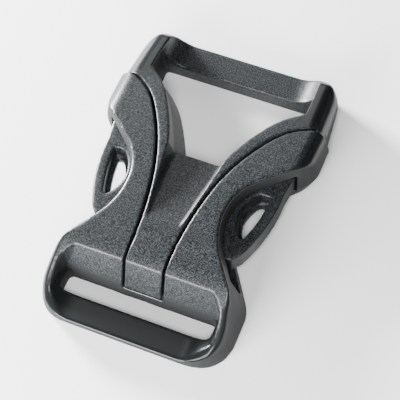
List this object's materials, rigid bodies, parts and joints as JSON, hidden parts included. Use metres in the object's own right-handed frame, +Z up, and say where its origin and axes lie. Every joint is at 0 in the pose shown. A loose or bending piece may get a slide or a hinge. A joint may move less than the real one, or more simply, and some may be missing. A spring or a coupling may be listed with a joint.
{
  "type": "side release buckle",
  "caption": "Fastened two-part side release buckle in dark grey plastic with a webbing loop at each end, a V opening and squeezable side tabs with finger holes.",
  "frame": {"origin": "on the flat underside, under the middle of the outline", "axes": "+X across the buckle to the right, +Y along it towards the plug's webbing loop, +Z up out of the arched top face"},
  "size_m": [0.0398, 0.0574, 0.0104],
  "materials": {
    "socket_plastic": "injection moulded acetal with a fine spark-eroded grain, charcoal grey",
    "plug_plastic": "injection moulded acetal with a fine spark-eroded grain, charcoal grey"
  },
  "bodies": {
    "root": {"socket": "socket_plastic", "plug": "plug_plastic"}
  },
  "joints": []
}
